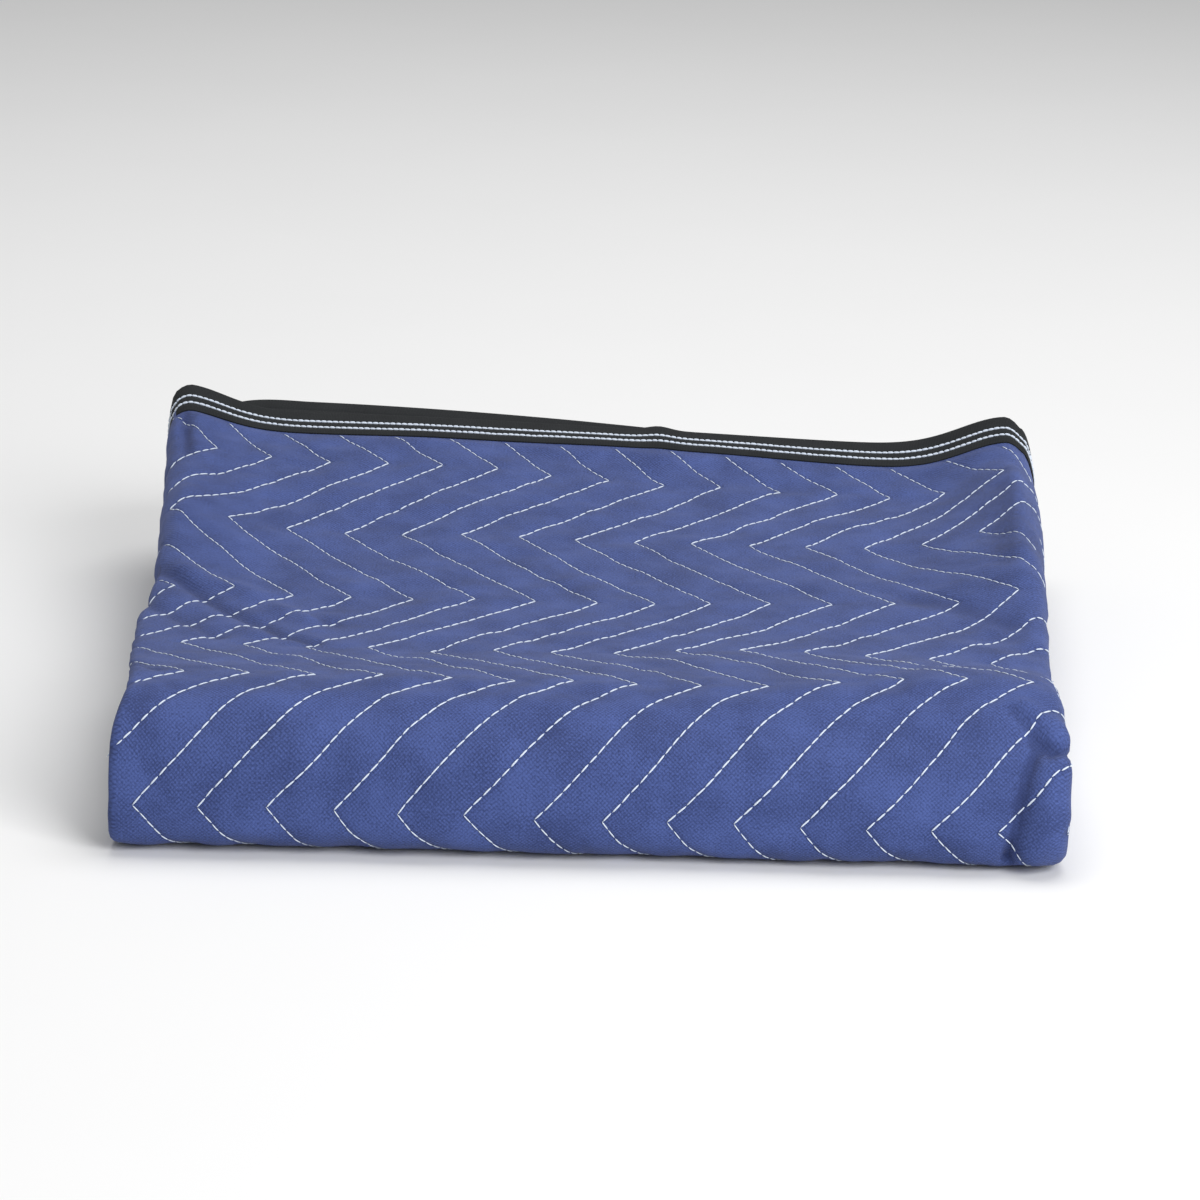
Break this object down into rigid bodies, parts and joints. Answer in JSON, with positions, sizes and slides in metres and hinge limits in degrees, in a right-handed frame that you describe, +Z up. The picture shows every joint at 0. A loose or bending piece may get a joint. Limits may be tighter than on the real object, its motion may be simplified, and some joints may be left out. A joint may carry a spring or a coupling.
{
  "type": "folded quilted moving blanket",
  "caption": "Quilted moving blanket with bound edges, folded lengthwise and crosswise into a flat stack with a rounded front roll; pads and covers furniture in transit.",
  "frame": {"origin": "middle of the underside, on the surface that the blanket lies on", "axes": "+X to the right along the front roll, +Y from the front roll to the bound edge at the back, +Z up"},
  "size_m": [0.4996, 0.5438, 0.1001],
  "materials": {
    "quilted_cloth": "matt needled non-woven, royal blue",
    "binding_tape": "matt woven tape, charcoal",
    "sewing_thread": "white spun thread"
  },
  "bodies": {
    "root": {"blanket": "quilted_cloth", "binding_top_edge": "binding_tape", "binding_lower_edge": "binding_tape", "binding_side_outer": "binding_tape", "binding_side_inner": "binding_tape"}
  },
  "joints": []
}
